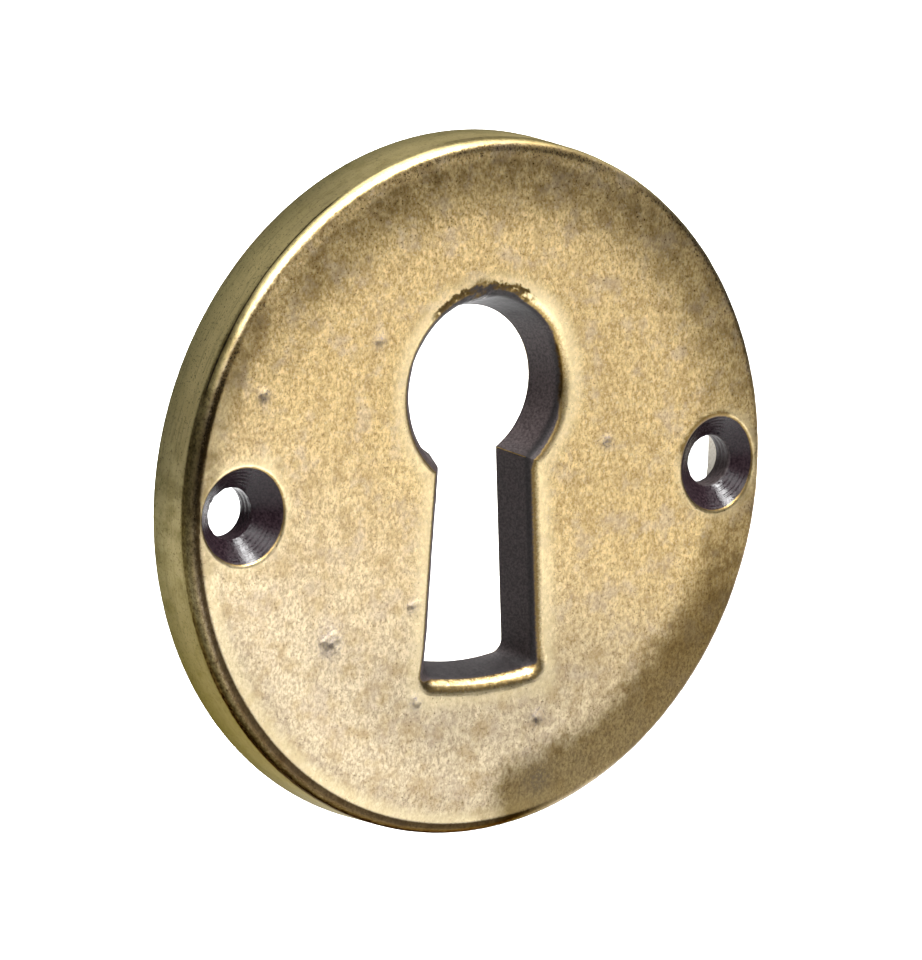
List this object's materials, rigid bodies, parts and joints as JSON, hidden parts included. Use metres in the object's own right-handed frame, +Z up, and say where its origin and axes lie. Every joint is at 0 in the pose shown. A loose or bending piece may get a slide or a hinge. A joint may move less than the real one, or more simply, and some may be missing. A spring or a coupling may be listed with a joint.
{
  "type": "keyhole escutcheon",
  "caption": "Round cast brass plate with a crowned face, a soft-lipped keyhole that narrows inwards and countersunk screw holes; it frames and guards a lock's keyhole.",
  "frame": {"origin": "centre of the back, on the plane that meets the door or drawer front", "axes": "front faces -Y, +Z is up with the keyhole's round head at the top, +X is to the right seen from the front"},
  "size_m": [0.04, 0.0041, 0.04],
  "materials": {
    "antique_brass": "antique, worn, fine brushed"
  },
  "bodies": {
    "root": {"escutcheon_plate": "antique_brass"}
  },
  "joints": []
}
